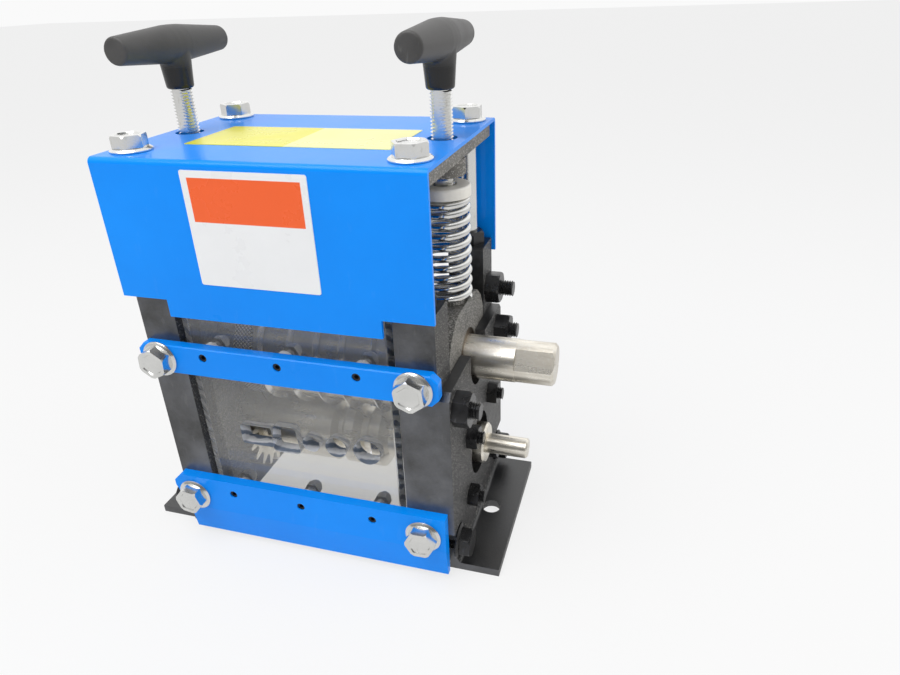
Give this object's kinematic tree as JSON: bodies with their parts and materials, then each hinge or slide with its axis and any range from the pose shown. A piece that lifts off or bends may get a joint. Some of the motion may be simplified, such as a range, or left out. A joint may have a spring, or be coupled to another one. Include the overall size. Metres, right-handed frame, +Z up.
{
  "type": "hand crank wire stripper",
  "caption": "Bench wire stripper: spring-loaded blade drum over a grooved feed roller, clear guide plate with feed holes, two T-handles and a bare drive shaft.",
  "frame": {"origin": "middle of the line between the two foot holes, on the floor plane", "axes": "+X along the shafts to the drive side, +Y from the feed window to the rear, +Z up"},
  "size_m": [0.2588, 0.148, 0.3038],
  "materials": {
    "blue_paint": "gloss",
    "black_paint": "satin",
    "cast_grey": "matte",
    "zinc": "satin",
    "black_hardware": "satin",
    "clear_window": "gloss",
    "moulded_black": "matte",
    "bearing_bronze": "satin",
    "steel": "satin",
    "blade_steel": "satin"
  },
  "bodies": {
    "frame": {"top_cover": "blue_paint", "middle_front_bar": "blue_paint", "lower_front_bar": "blue_paint", "rear_panel": "blue_paint", "left_side_frame": "black_paint", "right_side_frame": "black_paint", "right_side_plate": "black_paint", "left_foot_angle": "black_paint", "right_foot_angle": "black_paint", "top_plate": "black_paint", "left_lower_bearing_block": "cast_grey", "right_lower_bearing_block": "cast_grey", "top_bolts": "zinc", "bar_bolts": "zinc", "rear_panel_bolts": "zinc", "window_cap_nuts": "zinc", "window_spacers": "zinc", "left_spring": "zinc", "right_spring": "zinc", "foot_bolts": "black_hardware", "side_plate_nuts": "black_hardware", "post_nuts": "black_hardware", "window_screws": "black_hardware", "stop_screws": "black_hardware", "lower_bearing_nuts": "black_hardware", "guide_window": "clear_window", "lower_bushes": "bearing_bronze"},
    "blade_carriage": {"left_upper_bearing_block": "cast_grey", "right_upper_bearing_block": "cast_grey", "upper_bushes": "bearing_bronze"},
    "blade_shaft": {"upper_shaft": "steel", "blade_discs": "blade_steel", "blade_spacers": "steel", "knurled_drum": "steel", "upper_gear": "steel", "upper_shaft_collar": "steel"},
    "feed_shaft": {"lower_shaft": "steel", "grooved_roller": "steel", "lower_gear": "steel", "lower_shaft_collar": "steel"},
    "left_seat": {"left_spring_seat": "zinc"},
    "right_seat": {"right_spring_seat": "zinc"},
    "left_handle": {"left_adjusting_screw": "zinc", "left_t_handle": "moulded_black"},
    "right_handle": {"right_adjusting_screw": "zinc", "right_t_handle": "moulded_black"}
  },
  "joints": [
    {"name": "carriage_lift", "type": "slide", "parent": "frame", "child": "blade_carriage", "axis": [0, 0, 1], "range_m": [0, 0.0025], "stiffness_N_per_m": 28000, "springref_m": -0.004, "deforming": ["left_spring", "right_spring"]},
    {"name": "blade_shaft_spin", "type": "hinge", "parent": "blade_carriage", "child": "blade_shaft", "pos_m": [0, 0, 0.1194], "axis": [1, 0, 0], "continuous": true},
    {"name": "feed_shaft_spin", "type": "hinge", "parent": "frame", "child": "feed_shaft", "pos_m": [0, 0, 0.057], "axis": [1, 0, 0], "continuous": true},
    {"name": "left_seat_travel", "type": "slide", "parent": "frame", "child": "left_seat", "axis": [0, 0, 1], "range_m": [-0.00351, 0.00351], "deforming": ["left_spring"]},
    {"name": "left_handle_turn", "type": "hinge", "parent": "left_seat", "child": "left_handle", "pos_m": [-0.0765, 0, 0.294], "axis": [0, 0, 1], "range_deg": [-720, 720]},
    {"name": "right_seat_travel", "type": "slide", "parent": "frame", "child": "right_seat", "axis": [0, 0, 1], "range_m": [-0.00351, 0.00351], "deforming": ["right_spring"]},
    {"name": "right_handle_turn", "type": "hinge", "parent": "right_seat", "child": "right_handle", "pos_m": [0.0765, 0, 0.294], "axis": [0, 0, 1], "range_deg": [-720, 720]}
  ],
  "couplings": [
    {"joint": "feed_shaft_spin", "follows": "blade_shaft_spin", "ratio": -1},
    {"joint": "left_seat_travel", "follows": "left_handle_turn", "m_per_rad": 0.00027852},
    {"joint": "right_seat_travel", "follows": "right_handle_turn", "m_per_rad": 0.00027852}
  ]
}
